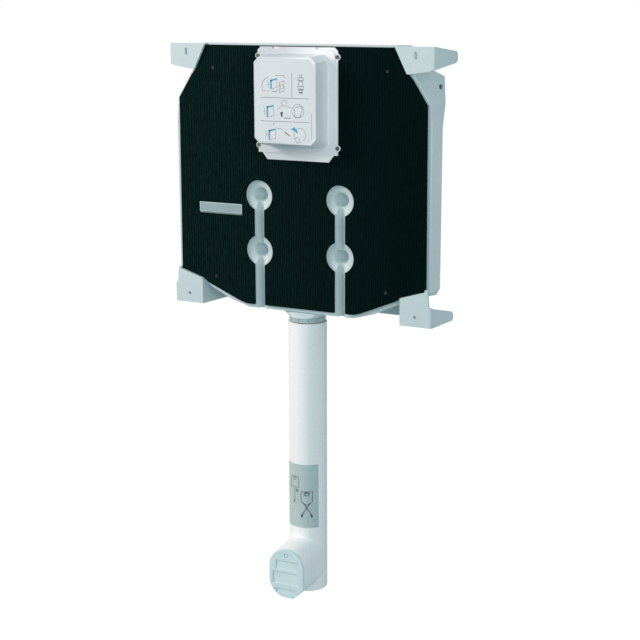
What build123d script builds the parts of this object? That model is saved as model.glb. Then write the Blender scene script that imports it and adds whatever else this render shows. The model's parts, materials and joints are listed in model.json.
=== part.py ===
from build123d import *
import math
import os

# Sizes are in millimetres. The wall is the plane Y = 0 and the front faces -Y. X = 0 is the middle,
# and Z = 0 is half way between the upper and the lower fixings.

# Overall sizes
depth = 80.0
overall_width = 439.0
lower_fixing_rise = 14.0
slot_from_side = 29.5
hole_from_side = 26.5
loose_gap = 0.3
running_gap = 0.08
overrun = 5.0

# Tank: a front moulding welded on a hollow back moulding that narrows towards the wall
wall = 3.0
insulation_thickness = 4.0
tank_side_inset = 5.0
tank_rear_taper = 16.5
tank_height = 402.5
tank_top_rise = 13.5
tank_front_shares = [
    (0.75, 1.0), (0.836, 0.91), (0.873, 0.8875), (0.986, 0.795), (1.0, 0.7),
    (1.0, 0.123), (0.886, 0.103), (0.7725, 0.073), (0.573, 0.0235), (0.42, 0.0),
]
tank_rear_shares = [
    (0.745, 0.993), (0.909, 0.909), (1.012, 0.886), (1.02, 0.79), (1.0, 0.7),
    (1.0, 0.107), (0.975, 0.08), (0.9, 0.069), (0.6, 0.03), (0.45, 0.0),
]
rim_round = 2.2
rim_shares = [(0.0, 1.0), (0.134, 0.5), (0.5, 0.134), (1.0, 0.0)]
vent_hole_radius = 3.2
vent_below_top = 60.4
vent_hole_from_wall = 15.0
vent_hole_stretch = 6.0
weld_from_front = 5.0

# Brackets moulded on the tank's four corners, proud of the insulation
bracket_wall = 4.0
bracket_proud = 4.0
upper_drop = 1.2
upper_outer_height = 32.0
upper_notch_width = 6.0
upper_notch_height = 1.5
upper_root_inset = 38.5
upper_inner_inset = 62.5
upper_low_inner_inset = 51.5
upper_root_height = 38.5
upper_tip_drop = 8.5
upper_tip_height = 16.5
tip_corner = 5.0
bracket_corner = 3.0
lower_inner_inset = 50.5
lower_bracket_drop = 0.5
lower_bracket_height = 30.0
lower_bracket_root = 56.0
lower_neck_inset = 4.5
lower_root_inset = 7.0
lower_tip_rise = 10.5
lower_tip_drop = 4.0
lower_tip_chamfer = 3.0
foot_length = 69.0
foot_height = 36.0
foot_thickness = 6.0
slot_length = 11.0
slot_width = 4.5
fixing_hole_radius = 2.5

# Dished recesses and the channels below them
channel_spacing = 137.0
channel_width = 18.5
channel_lip = 0.35
channel_depth = 8.0
channel_shares = [(1.0, 0.0), (0.76, 0.14), (0.63, 0.32), (0.53, 0.62), (0.37, 0.88), (0.16, 1.0)]
dish_radius = 23.5
dish_depth = 20.0
dish_shares = [
    (1.0, 0.0), (0.61, 0.14), (0.5, 0.23), (0.43, 0.42), (0.37, 0.7), (0.28, 0.92), (0.17, 1.0),
]
dish_above_bottom = 175.5
dish_spacing = 84.8

# Insulation panel on the front
panel_side_margin = 6.5
panel_height = 392.7
panel_bottom_above_tank = 6.5
panel_shares = [
    (0.757, 1.0), (0.844, 0.909), (0.883, 0.886), (0.992, 0.797), (1.0, 0.117),
    (0.815, 0.087), (0.77, 0.068), (0.495, 0.0076), (0.442, 0.0),
]
panel_gap = 0.4
pin_head_radius = 2.5
pin_head_height = 0.9
pin_radius = 1.2
pin_bite = 2.0
pin_from_side = 63.0
pin_below_top = 37.0
pin_above_bottom = 45.0

# Moulded bar that shows through a window in the panel
bar_length = 75.0
bar_height = 14.5
bar_proud = 0.8
bar_from_channel = 67.0
bar_below_dish = 22.5
bar_shadow = 3.0

# Inspection opening, its frame and its gasket
opening_width = 95.0
opening_height = 123.0
opening_below_top = 82.0
gasket_thickness = 1.0
frame_thickness = 2.0
frame_wall = 2.0
frame_depth = 14.0
frame_clearance = 0.5
hook_length = 20.0
hook_reach = 2.2
hook_thickness = 3.0

# Inspection cover: a flange with ears, and a raised box
cover_half = 66.5
cover_height = 166.0
cover_top_below_tank = 4.5
cover_flange = 2.0
cover_step = 1.5
cover_corner = 5.0
cover_lip_height = 10.5
cover_lip_half = 51.5
cover_lip_root_half = 60.0
ear_radius = 4.5
ear_x = 66.0
ear_below_top = 18.0
ear_spacing_z = 131.5
box_half = 52.0
box_front_half = 51.0
box_root_height = 137.0
box_front_height = 125.0
box_below_top = 82.7
box_face_rise = 2.6
box_chamfer = 8.0
box_proud = 41.0
box_wall = 2.0
box_round = 2.0
notch_width = 10.5
notch_depth = 3.0
notch_spacing = 72.0
label_margin = 2.5
label_thickness = 0.3
cover_screw_radius = 1.4
cover_screw_hole = 1.7
cover_screw_head = 3.0
cover_screw_head_height = 1.0
driver_slot_width = 0.8
driver_slot_depth = 0.5
driver_slot_reach = 2.0

# Outlet under the tank, and the flush pipe
pipe_radius = 22.5
pipe_wall = 2.0
pipe_from_front = 27.5
pipe_insertion = 8.5
bend_radius = 40.0
outlet_above_base = 42.0
outlet_from_axis = 71.5
base_below_tank = 452.0
funnel_half_width = 41.0
funnel_back = 8.0
funnel_corner = 16.0
funnel_height = 8.5
funnel_end_radius = 28.0
neck_radius = 26.0
neck_height = 5.0
neck_bore = 22.9
seal_radius = 24.8
seal_height = 3.0
nut_radius = 28.3
nut_flange = 1.2
nut_bore = 22.8
nut_grips = 12
nut_grip_radius = 0.8

# Insulation shells round the flush pipe
shell_radius = 30.0
shell_top_below_tank = 16.7
shell_bore_gap = 0.2
shell_base_round = 1.5
branch_straight = 20.5
branch_centre_drop = 3.2
branch_dome = 10.0
pipe_end_inset = 2.0
sticker_above_base = 107.0
sticker_height = 104.0
sticker_start_angle = -75.0
sticker_end_angle = 60.0
sticker_thickness = 0.3

# Protective cap in the outlet
cap_thickness = 4.0
cap_round = 1.0
cap_socket_length = 12.0
cap_socket_wall = 2.0
cap_corner_x = 12.0
cap_corner_height = 17.0
cap_row_depth = 1.6
cap_flat = 0.8
cap_row_shares = [
    (-0.617, 0.683, 0.317, 0.817), (-0.8, 0.767, -0.483, 0.183), (-0.6, 0.5, -0.983, -0.733),
]
cap_ring_radius = 3.2
cap_ring_width = 0.8
cap_ring_z = 34.0
cap_pip_radius = 1.2
cap_pip_x = -20.5
cap_pip_z = -23.5

# Flush valve in the tank
valve_from_front = 35.0
seat_bore = 20.5
seat_hole_gap = 0.2
seat_neck_wall = 3.3
seat_flange_radius = 27.0
seat_flange = 2.0
seat_lip_height = 1.5
seat_lip_width = 1.5
seat_gasket = 1.0
basket_radius = 26.0
basket_wall = 2.0
basket_height = 132.0
basket_window_height = 22.0
basket_base = 3.0
basket_cap = 3.0
basket_legs = 4
basket_leg_width = 9.0
overflow_radius = 11.0
overflow_wall = 2.0
overflow_height = 253.0
lifter_disc_radius = 22.8
lifter_disc = 3.0
main_seal_thickness = 3.0
main_seal_radius = 22.5
full_float_radius = 20.5
full_float_height = 30.0
full_float_above_disc = 25.0
half_float_height = 30.0
half_float_above_full = 5.0
half_rod_radius = 2.0
half_rod_offset = 15.0
rod_hole_gap = 0.5

# Two air cylinders that lift the valve
cylinder_spacing = 76.0
cylinder_radius = 15.0
cylinder_wall = 1.8
cylinder_height = 40.0
cylinder_floor = 2.0
cylinder_lid = 3.0
plunger_disc = 4.0
plunger_rod_radius = 4.0
plunger_reach = 22.0
actuator_plate = 4.0
actuator_plate_depth = 30.0
actuator_plate_margin = 2.0
arm_height = 6.0
arm_width = 8.0
arm_end_margin = 2.0
nipple_offset = 9.0
nipple_radius = 1.9
nipple_height = 8.0
air_hose_radius = 3.0
air_hose_wall = 1.0
air_hose_straight_share = 0.35
coupling_radius = 4.2
coupling_flange_radius = 5.2
coupling_flange = 2.0
coupling_height = 14.0
coupling_x = 42.5
coupling_from_front = 23.5
hose_tab_width = 14.0
hose_tab_above_collar = 4.0

# Water inlet, stop valve and supply hose
inlet_below_top = 101.0
inlet_from_wall = 22.0
inlet_pad_radius = 17.0
inlet_pad_inset = 5.0
inlet_pad_thickness = 13.5
inlet_washer = 1.0
inlet_hex = 9.0
hex_across = 27.0
inlet_shank_radius = 10.4
inlet_shank_length = 26.0
inlet_bore_radius = 9.3
inlet_bore_length = 16.5
water_bore = 5.0
locknut_height = 6.0
water_tube_radius = 6.5
water_tube_wall = 1.5
collar_radius = 9.5
collar_thickness = 2.0
union_nut_length = 8.0
union_nut_lip = 1.9
stop_valve_from_fill = 160.0
stop_valve_length = 40.0
stop_boss_radius = 9.0
stop_boss_length = 22.0
spindle_radius = 4.0
spindle_bite = 8.0
spindle_stem = 6.0
knob_radius = 15.0
knob_thickness = 9.0
knob_grips = 10
knob_grip_radius = 2.0
hose_bend_radius = 29.0
hose_straight = 28.0

# Fill valve, its lever and its float
fill_from_side = 76.0
fill_from_wall = 38.0
fill_inlet_below_top = 64.0
fill_column_radius = 9.0
fill_column_below_top = 246.0
fill_bore = 5.0
fill_head_radius = 17.0
fill_head_below = 11.0
fill_head_above = 11.0
fill_inlet_reach = 34.0
fill_stop_radius = 12.0
fill_stop_height = 4.0
diaphragm_radius = 14.0
diaphragm_thickness = 2.0
fill_cap_height = 9.0
silencer_radius = 9.0
silencer_spigot_radius = 6.5
silencer_overlap = 12.0
silencer_above_floor = 53.5
lever_pivot_offset = 12.0
lever_pivot_height = 8.5
lever_pin_radius = 2.0
lever_boss_radius = 4.5
lever_width = 6.0
lever_thickness = 4.0
lever_arm = 42.0
lever_slot_length = 10.0
lever_slot_width = 5.0
lever_end_margin = 3.0
lever_ear = 3.0
float_length = 44.0
float_depth = 32.0
float_height = 60.0
float_corner = 6.0
float_lug_height = 6.0
float_lug_width = 8.0
float_rod_radius = 2.0
float_collar_radius = 3.4
float_collar_height = 2.0
float_collar_play = 2.0
fill_bracket_height = 14.0
fill_bracket_width = 40.0
fill_bracket_plate = 3.0
fill_bracket_below_top = 121.0
fill_clip_wall = 3.0

# Places worked out from the sizes above
tank_front = insulation_thickness - depth
panel_front = -depth
weld_y = tank_front + weld_from_front
slot_z = (tank_height - tank_top_rise - lower_fixing_rise) / 2
tank_top = slot_z + tank_top_rise
tank_bottom = tank_top - tank_height
floor_z = tank_bottom + wall
vent_hole_z = tank_top - vent_below_top
upper_dish_z = tank_bottom + dish_above_bottom
bracket_half = overall_width / 2
bracket_front = panel_front - bracket_proud
slot_x = bracket_half - slot_from_side
hole_x = bracket_half - hole_from_side
tank_front_half = bracket_half - tank_side_inset
tank_rear_half = tank_front_half - tank_rear_taper
panel_half = tank_front_half - panel_side_margin
channel_x = channel_spacing / 2
bar_x = -channel_x - bar_from_channel
bar_z = upper_dish_z - bar_below_dish
lower_dish_z = upper_dish_z - dish_spacing
panel_bottom = tank_bottom + panel_bottom_above_tank
pin_x = panel_half - pin_from_side
pin_upper_z = tank_top - pin_below_top
pin_lower_z = tank_bottom + pin_above_bottom
opening_z = tank_top - opening_below_top
pipe_y = pipe_from_front - depth
valve_y = valve_from_front - depth
frame_back = tank_front - gasket_thickness
frame_front = frame_back - frame_thickness
cover_top = tank_top - cover_top_below_tank
cover_bottom = cover_top - cover_height
cover_face = frame_front - cover_flange
ear_upper_z = tank_top - ear_below_top
ear_lower_z = ear_upper_z - ear_spacing_z
box_z = tank_top - box_below_top
box_face = panel_front - box_proud
neck_top = tank_bottom - funnel_height
neck_bottom = neck_top - neck_height
pipe_top = neck_bottom + pipe_insertion
base_z = tank_bottom - base_below_tank
outlet_z = base_z + outlet_above_base
outlet_face = pipe_y - outlet_from_axis
pipe_end = outlet_face + pipe_end_inset
cap_socket_bore = pipe_radius + running_gap
shell_top = tank_bottom - shell_top_below_tank
branch_z = outlet_z + branch_centre_drop
basket_bottom = floor_z + seat_gasket + seat_flange
basket_top = basket_bottom + basket_height
seat_lip_top = basket_bottom + seat_lip_height
disc_bottom = seat_lip_top + main_seal_thickness
disc_top = disc_bottom + lifter_disc
full_float_bottom = disc_top + full_float_above_disc
half_float_bottom = full_float_bottom + full_float_height + half_float_above_full
half_float_top = half_float_bottom + half_float_height
cylinder_x = cylinder_spacing / 2
cylinder_bottom = basket_top + actuator_plate
cylinder_top = cylinder_bottom + cylinder_height
plunger_top = cylinder_top + plunger_reach
arm_bottom = plunger_top + loose_gap
nipple_x = cylinder_x + nipple_offset
nipple_top = cylinder_top + nipple_height
collar_low = opening_z - opening_height / 2 + frame_clearance
tab_top = collar_low + frame_wall + hose_tab_above_collar
coupling_y = coupling_from_front - depth
inlet_y = -inlet_from_wall
inlet_z = tank_top - inlet_below_top
inlet_pad_half = tank_front_half - inlet_pad_inset
inlet_pad_inner = inlet_pad_half - inlet_pad_thickness
fill_x = tank_rear_half - fill_from_side
stop_valve_x = fill_x - stop_valve_from_fill
fill_y = -fill_from_wall
fill_inlet_z = tank_top - fill_inlet_below_top
fill_column_bottom = tank_top - fill_column_below_top
fill_bracket_z = tank_top - fill_bracket_below_top
silencer_length = fill_column_bottom - floor_z - silencer_above_floor
head_bottom = fill_inlet_z - fill_head_below
head_top = fill_inlet_z + fill_head_above
pivot_x = fill_x - lever_pivot_offset
pivot_z = head_top + fill_cap_height + lever_pivot_height
float_bottom = fill_column_bottom + fill_stop_height + loose_gap
float_top = float_bottom + float_height
float_rod_x = pivot_x + lever_arm


# Shape helpers
def middle(ends):
    return (ends[0] + ends[1]) / 2


def length(ends):
    return ends[1] - ends[0]


def block(x, y, z):
    return Pos(middle(x), middle(y), middle(z)) * Box(length(x), length(y), length(z))


def rod_x(radius, x, y, z):
    return Pos(middle(x), y, z) * Rot(0, 90, 0) * Cylinder(radius, length(x))


def rod_y(radius, y, x, z):
    return Pos(x, middle(y), z) * Rot(90, 0, 0) * Cylinder(radius, length(y))


def rod_z(radius, z, x, y):
    return Pos(x, y, middle(z)) * Cylinder(radius, length(z))


def hex_x(across, x, y, z):
    prism = extrude(RegularPolygon(across / math.sqrt(3), 6), amount=length(x))
    return Pos(x[0], y, z) * Rot(0, 90, 0) * prism


def front_plane(y):
    return Plane(origin=(0, y, 0), x_dir=(1, 0, 0), z_dir=(0, -1, 0))


def outline(points):
    return make_face(Polyline(*points, close=True))


def plate(points, y):
    """A plate seen from the front: points are (X, Z), and it lies between two Y values."""
    return extrude(front_plane(y[1]) * outline(points), amount=length(y))


def side_plate(points, x):
    """A plate seen from the side: points are (Y, Z), and it lies between two X values."""
    plane = Plane(origin=(x[0], 0, 0), x_dir=(0, 1, 0), z_dir=(1, 0, 0))
    return extrude(plane * outline(points), amount=length(x))


def placed(shares, half_width, bottom, height):
    return [(across * half_width, bottom + up * height) for across, up in shares]


def mirrored(right_points):
    return right_points + [(-x, z) for x, z in reversed(right_points)]


def inset(points, distance):
    """The same outline with every edge moved inward; the points run clockwise."""
    result = []
    for i, (x, z) in enumerate(points):
        px, pz = points[i - 1]
        nx, nz = points[(i + 1) % len(points)]
        a, b = math.hypot(x - px, z - pz), math.hypot(nx - x, nz - z)
        before = ((z - pz) / a, -(x - px) / a)
        after = ((nz - z) / b, -(nx - x) / b)
        reach = distance / (1 + before[0] * after[0] + before[1] * after[1])
        result.append((x + (before[0] + after[0]) * reach, z + (before[1] + after[1]) * reach))
    return result


def both_sides(shape):
    return shape + mirror(shape, about=Plane.YZ)


def tube_z(outer, inner, z, x, y):
    longer = (z[0] - overrun, z[1] + overrun)
    return rod_z(outer, z, x, y) - rod_z(inner, longer, x, y)


def tube_x(outer, inner, x, y, z):
    longer = (x[0] - overrun, x[1] + overrun)
    return rod_x(outer, x, y, z) - rod_x(inner, longer, y, z)


def stadium(radius, straight, y, z):
    """An upright stadium on a plane that faces the front."""
    return front_plane(y) * Pos(0, z) * Rot(0, 0, 90) * SlotCenterToCenter(straight, radius * 2)


# Tank
def tank_outlines():
    front = mirrored(placed(tank_front_shares, tank_front_half, tank_bottom, tank_height))
    rear = mirrored(placed(tank_rear_shares, tank_rear_half, tank_bottom, tank_height))
    return front, rear


def between(front, rear, front_y, rear_y):
    sections = [front_plane(front_y) * outline(front), front_plane(rear_y) * outline(rear)]
    return loft(sections, ruled=True)


def blend(front, rear, share):
    return [
        (x + (end_x - x) * share, z + (end_z - z) * share)
        for (x, z), (end_x, end_z) in zip(front, rear)
    ]


def eased_between(front, rear, front_y, rear_y, radius):
    """The same body with both of its rims rounded in small steps."""
    share = radius / (rear_y - front_y)
    sections = []
    for back, inward in rim_shares:
        points = inset(blend(front, rear, back * share), inward * radius)
        sections.append(front_plane(front_y + back * radius) * outline(points))
    for back, inward in reversed(rim_shares):
        points = inset(blend(rear, front, back * share), inward * radius)
        sections.append(front_plane(rear_y - back * radius) * outline(points))
    return loft(sections, ruled=True)


def recesses(skin):
    """The dishes and channels of both sides, grown by a skin all over."""
    low = tank_bottom - overrun
    mouth = tank_front - overrun
    half = channel_width / 2 - channel_lip + skin
    deep = channel_depth + skin
    side = [(half * across, tank_front + deep * back) for across, back in channel_shares]
    points = [(half, mouth)] + side + [(-x, y) for x, y in reversed(side)] + [(-half, mouth)]
    shape = Pos(channel_x, 0, low) * extrude(outline(points), amount=upper_dish_z - low)
    rings = [
        ((dish_radius + skin) * across, tank_front + (dish_depth + skin) * back)
        for across, back in dish_shares
    ]
    for z in (upper_dish_z, lower_dish_z):
        shape += rod_y(dish_radius + skin, (mouth, tank_front), channel_x, z)
        for near, far in zip(rings, rings[1:]):
            shape += cone_y(near[0], far[0], (near[1], far[1]), z)
    return both_sides(shape)


def cone_y(front_radius, rear_radius, y, z):
    cone = Cone(rear_radius, front_radius, length(y))
    return Pos(channel_x, middle(y), z) * Rot(90, 0, 0) * cone


def panel_outline(growth):
    points = mirrored(placed(panel_shares, panel_half, panel_bottom, panel_height))
    return inset(points, -growth)


def ease_corner(bracket):
    """Round the upright edge where a bracket's front turns back along its side."""
    outer = bracket.faces().sort_by(Axis.X)[-1]
    edge = outer.edges().sort_by(Axis.Y)[0]
    return fillet(edge, bracket_corner)


def bracket_front_plate(face):
    """A bracket's front, and a skirt along the insulation that joins it to the tank."""
    behind = (bracket_front + bracket_wall, tank_front + wall / 2)
    skirt = plate(face, behind) & plate(panel_outline(panel_gap + wall), behind)
    return plate(face, (bracket_front, behind[0])) + skirt


def clear_of_panel(bracket):
    return bracket - plate(panel_outline(panel_gap), (bracket_front - overrun, tank_front))


def upper_bracket():
    top = tank_top - upper_drop
    low = top - upper_outer_height
    inner = bracket_half - upper_notch_width
    root = top - upper_root_height
    face = [
        (bracket_half - upper_inner_inset, top), (bracket_half, top), (bracket_half, low),
        (inner, low), (inner, low - upper_notch_height), (bracket_half - upper_root_inset, root),
        (bracket_half - upper_low_inner_inset, root),
    ]
    tip_top = top - upper_tip_drop
    tip_low = tip_top - upper_tip_height
    side = [
        (bracket_front, top), (-tip_corner, tip_top), (0, tip_top - tip_corner),
        (0, tip_low + tip_corner), (-tip_corner, tip_low), (bracket_front, low),
    ]
    shape = bracket_front_plate(face)
    shape += side_plate(side, (bracket_half - bracket_wall, bracket_half))
    return clear_of_panel(ease_corner(shape))


def lower_bracket():
    low = tank_bottom - lower_bracket_drop
    top = low + lower_bracket_height
    root = low + lower_bracket_root
    inner = bracket_half - lower_inner_inset
    face = [
        (inner, root), (bracket_half - lower_root_inset, root),
        (bracket_half - lower_neck_inset, top), (bracket_half, top), (bracket_half, low),
        (inner, low),
    ]
    tip_top = low + lower_tip_rise
    tip_low = low - lower_tip_drop
    side = [
        (bracket_front, top), (-tip_corner, tip_top), (0, tip_top - tip_corner),
        (0, tip_low + lower_tip_chamfer), (-lower_tip_chamfer, tip_low), (bracket_front, low),
    ]
    web = [(bracket_front, root), (0, root), (0, tip_low), (bracket_front, low)]
    shape = bracket_front_plate(face)
    shape = ease_corner(shape + side_plate(side, (bracket_half - bracket_wall, bracket_half)))
    shape += side_plate(web, (inner, inner + bracket_wall))
    shape += block((inner - foot_length, inner), (-foot_thickness, 0), (tip_low, tip_low + foot_height))
    return clear_of_panel(shape)


def outlet_boss():
    """The moulded funnel and threaded neck under the floor, still solid."""
    mouth_y = (weld_y, -funnel_back)
    mouth = RectangleRounded(funnel_half_width * 2, length(mouth_y), funnel_corner)
    top = Pos(0, middle(mouth_y), tank_bottom + wall / 2) * mouth
    low = Pos(0, pipe_y, neck_top) * Circle(funnel_end_radius)
    return loft([top, low], ruled=True) + rod_z(neck_radius, (neck_bottom, neck_top), 0, pipe_y)


def outlet_passage():
    top = Pos(0, valve_y, tank_bottom) * Circle(seat_bore + seat_neck_wall + seat_hole_gap)
    low = Pos(0, pipe_y, neck_top) * Circle(neck_bore)
    seat_hole = seat_bore + seat_neck_wall + seat_hole_gap
    shape = loft([top, low], ruled=True)
    shape += rod_z(seat_hole, (tank_bottom, floor_z + overrun), 0, valve_y)
    shape += rod_z(neck_bore, (neck_bottom - overrun, pipe_top + loose_gap), 0, pipe_y)
    counterbore = (neck_bottom - overrun, neck_bottom + seal_height)
    return shape + rod_z(seal_radius + seat_hole_gap, counterbore, 0, pipe_y)


def opening_plate(width, height, corner, y):
    face = front_plane(y[1]) * Pos(0, opening_z) * RectangleRounded(width, height, corner)
    return extrude(face, amount=length(y))


def bar():
    x = (bar_x - bar_length / 2, bar_x + bar_length / 2)
    z = (bar_z - bar_height / 2, bar_z + bar_height / 2)
    return block(x, (panel_front - bar_proud, tank_front + wall / 2), z)


def pins(radius, y):
    shapes = [
        rod_y(radius, y, side * pin_x, z)
        for side in (-1, 1) for z in (pin_upper_z, pin_lower_z)
    ]
    return Compound(children=shapes)


def tank_bodies():
    """The tank's outside as a solid, and the room inside it."""
    front, rear = tank_outlines()
    outer = eased_between(front, rear, tank_front, 0, rim_round)
    inner = between(inset(front, wall), inset(rear, wall), tank_front + wall, -wall)
    return outer, inner - recesses(wall)


def behind_weld(outer):
    """What the back moulding takes up, with its room, clear of the dishes and channels."""
    x = (-bracket_half, bracket_half)
    z = (tank_bottom - overrun, tank_top + overrun)
    return outer - block(x, (tank_front - overrun, weld_y), z) - recesses(wall)


def vent_holes():
    x = (tank_rear_half - overrun * 2, bracket_half)
    y = (-vent_hole_from_wall - vent_hole_stretch / 2, -vent_hole_from_wall + vent_hole_stretch / 2)
    z = (vent_hole_z - vent_hole_radius, vent_hole_z + vent_hole_radius)
    shape = block(x, y, z)
    for end in y:
        shape += rod_x(vent_hole_radius, x, end, vent_hole_z)
    return both_sides(shape)


def tank_shell():
    outer, inner = tank_bodies()
    tank = behind_weld(outer) - inner
    tank += outlet_boss()
    tank += rod_x(inlet_pad_radius, (-inlet_pad_half, -inlet_pad_inner), inlet_y, inlet_z)
    tank -= outlet_passage()
    tank -= vent_holes()
    inlet_cut = (-inlet_pad_half - overrun, -inlet_pad_inner + overrun)
    return tank - rod_x(inlet_shank_radius + seat_hole_gap, inlet_cut, inlet_y, inlet_z)


def tank_front_shell():
    outer, inner = tank_bodies()
    tank = outer + both_sides(upper_bracket() + lower_bracket())
    tank -= recesses(0)
    tank -= behind_weld(outer)
    tank -= inner
    tank -= outlet_boss()
    tank += bar()
    tank -= opening_plate(
        opening_width, opening_height, cover_corner, (tank_front - overrun, tank_front + wall + overrun)
    )
    tank -= pins(pin_radius + running_gap, (tank_front, tank_front + pin_bite))
    through = (bracket_front - overrun, bracket_front + bracket_wall + overrun)
    slot = front_plane(through[1]) * Pos(slot_x, slot_z) * Rot(0, 0, 90)
    tank -= both_sides(extrude(slot * SlotOverall(slot_length, slot_width), amount=length(through)))
    return tank - both_sides(rod_y(fixing_hole_radius, through, hole_x, -slot_z))


# Insulation panel
def ears(radius, y):
    shapes = [
        rod_y(radius, y, side * ear_x, z) for side in (-1, 1) for z in (ear_upper_z, ear_lower_z)
    ]
    return Compound(children=shapes)


def cover_outline():
    step = cover_bottom + cover_lip_height
    return mirrored([
        (cover_half - cover_corner, cover_top), (cover_half, cover_top - cover_corner),
        (cover_half, step), (cover_lip_root_half, step), (cover_lip_half, cover_bottom),
    ])


def insulation_panel():
    y = (panel_front, tank_front)
    cut = (panel_front - overrun, tank_front + overrun)
    panel = plate(panel_outline(0), y)
    panel -= plate(inset(cover_outline(), -panel_gap), cut)
    panel -= ears(ear_radius + panel_gap, cut)
    channel = (channel_x - channel_width / 2, channel_x + channel_width / 2)
    openings = block(channel, cut, (panel_bottom - overrun, upper_dish_z))
    for z in (upper_dish_z, lower_dish_z):
        openings += rod_y(dish_radius, cut, channel_x, z)
    panel -= both_sides(openings)
    window_x = (bar_x - bar_length / 2 - bar_shadow, bar_x + bar_length / 2 + panel_gap)
    window_z = (bar_z - bar_height / 2 - bar_shadow, bar_z + bar_height / 2 + panel_gap)
    panel -= block(window_x, cut, window_z)
    return panel - pins(pin_radius + running_gap, cut)


def panel_pins():
    heads = pins(pin_head_radius, (panel_front - pin_head_height, panel_front))
    shanks = pins(pin_radius, (panel_front, tank_front + pin_bite - running_gap))
    return Part() + heads.solids() + shanks.solids()


# Inspection frame, gasket and cover
def opening_gasket():
    y = (frame_back, tank_front)
    cut = (frame_back - overrun, tank_front + overrun)
    ring = plate(inset(cover_outline(), wall), y)
    return ring - opening_plate(opening_width, opening_height, cover_corner, cut)


def frame_hooks():
    half = opening_width / 2 - frame_clearance
    low = tank_front + wall + loose_gap
    hook = Part()
    for z in (opening_z - hook_length, opening_z + hook_length):
        span = (z - hook_length / 2, z + hook_length / 2)
        hook += block((half - frame_wall / 2, half + hook_reach), (low, low + hook_thickness), span)
    return both_sides(hook)


def shaft_frame():
    flange = plate(cover_outline(), (frame_front, frame_back))
    flange += ears(ear_radius, (frame_front, frame_back))
    collar_y = (frame_front, tank_front + frame_depth)
    width = opening_width - 2 * frame_clearance
    height = opening_height - 2 * frame_clearance
    collar = opening_plate(width, height, cover_corner - frame_clearance, collar_y)
    frame = flange + collar + frame_hooks()
    back = tank_front + frame_depth
    tab_x = (coupling_x - hose_tab_width / 2, opening_width / 2)
    tab_y = (back - overrun, coupling_y + coupling_flange_radius + running_gap)
    tab = block(tab_x, (tab_y[0], tab_y[1]), (collar_low, tab_top))
    inner_width = width - 2 * frame_wall
    inner_height = height - 2 * frame_wall
    cut = (frame_front - overrun, back + overrun)
    frame -= opening_plate(inner_width, inner_height, cover_corner - frame_wall, cut)
    frame += both_sides(tab)
    hole_z = (collar_low - overrun, tab_top + overrun)
    frame -= both_sides(rod_z(air_hose_radius + seat_hole_gap, hole_z, coupling_x, coupling_y))
    return frame - ears(cover_screw_radius + running_gap, (frame_front - overrun, frame_back + overrun))


def chamfered(half, low, high, corner):
    return mirrored([
        (half - corner, high), (half, high - corner), (half, low + corner), (half - corner, low),
    ])


def box_outlines(skin):
    root = box_root_height / 2 - skin
    face = box_front_height / 2 - skin
    corner = box_chamfer - skin / 2
    face_z = box_z + box_face_rise
    return (
        chamfered(box_front_half - skin, face_z - face, face_z + face, corner),
        chamfered(box_half - skin, box_z - root, box_z + root, corner),
    )


def inspection_cover():
    cover = plate(cover_outline(), (cover_face, frame_front))
    cover += ears(ear_radius, (cover_face, frame_front))
    step = cover_bottom + cover_lip_height
    inner = cover_half - ear_radius
    raised = mirrored([
        (inner - cover_corner, cover_top - notch_depth), (inner, cover_top - notch_depth - cover_corner),
        (inner, step + cover_corner), (inner - cover_corner, step),
    ])
    cover += plate(raised, (cover_face - cover_step, cover_face))
    face, root = box_outlines(0)
    raised_box = between(face, root, box_face, cover_face)
    cover += fillet(raised_box.edges().group_by(Axis.Y)[0], box_round)
    face, root = box_outlines(box_wall)
    cover -= between(face, root, box_face + box_wall, frame_front)
    notch_x = (notch_spacing / 2 - notch_width / 2, notch_spacing / 2 + notch_width / 2)
    notch_z = (cover_top - notch_depth, cover_top + overrun)
    cover -= both_sides(block(notch_x, (cover_face - overrun, frame_front + overrun), notch_z))
    return cover - ears(cover_screw_hole, (cover_face - overrun, frame_front + overrun))


def cover_label():
    half = box_front_half - label_margin
    face_z = box_z + box_face_rise
    low = face_z - box_front_height / 2 + label_margin
    high = face_z + box_front_height / 2 - label_margin
    return plate(chamfered(half, low, high, box_chamfer), (box_face - label_thickness, box_face))


def cover_screws():
    head_y = (cover_face - cover_screw_head_height, cover_face)
    heads = Part() + ears(cover_screw_head, head_y).solids()
    screws = heads + ears(cover_screw_radius, (cover_face, frame_back)).solids()
    slot_y = (head_y[0], head_y[0] + driver_slot_depth)
    thin = driver_slot_width / 2
    for side in (-1, 1):
        x = side * ear_x
        for z in (ear_upper_z, ear_lower_z):
            screws -= block((x - driver_slot_reach, x + driver_slot_reach), slot_y, (z - thin, z + thin))
            screws -= block((x - thin, x + thin), slot_y, (z - driver_slot_reach, z + driver_slot_reach))
    return screws


# Outlet nut and seal
def lip_seal():
    z = (neck_bottom + running_gap, neck_bottom + seal_height - running_gap)
    return tube_z(seal_radius, pipe_radius + running_gap, z, 0, pipe_y)


def outlet_nut():
    high = neck_top - loose_gap
    low = neck_bottom - loose_gap - nut_flange
    nut = rod_z(nut_radius, (low, high), 0, pipe_y)
    for i in range(nut_grips):
        turn = Pos(0, pipe_y, 0) * Rot(0, 0, i * 360 / nut_grips)
        nut -= turn * rod_z(nut_grip_radius, (low - overrun, high + overrun), nut_radius, 0)
    nut -= rod_z(neck_radius + running_gap, (low + nut_flange, high + overrun), 0, pipe_y)
    return nut - rod_z(nut_bore, (low - overrun, high), 0, pipe_y)


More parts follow.
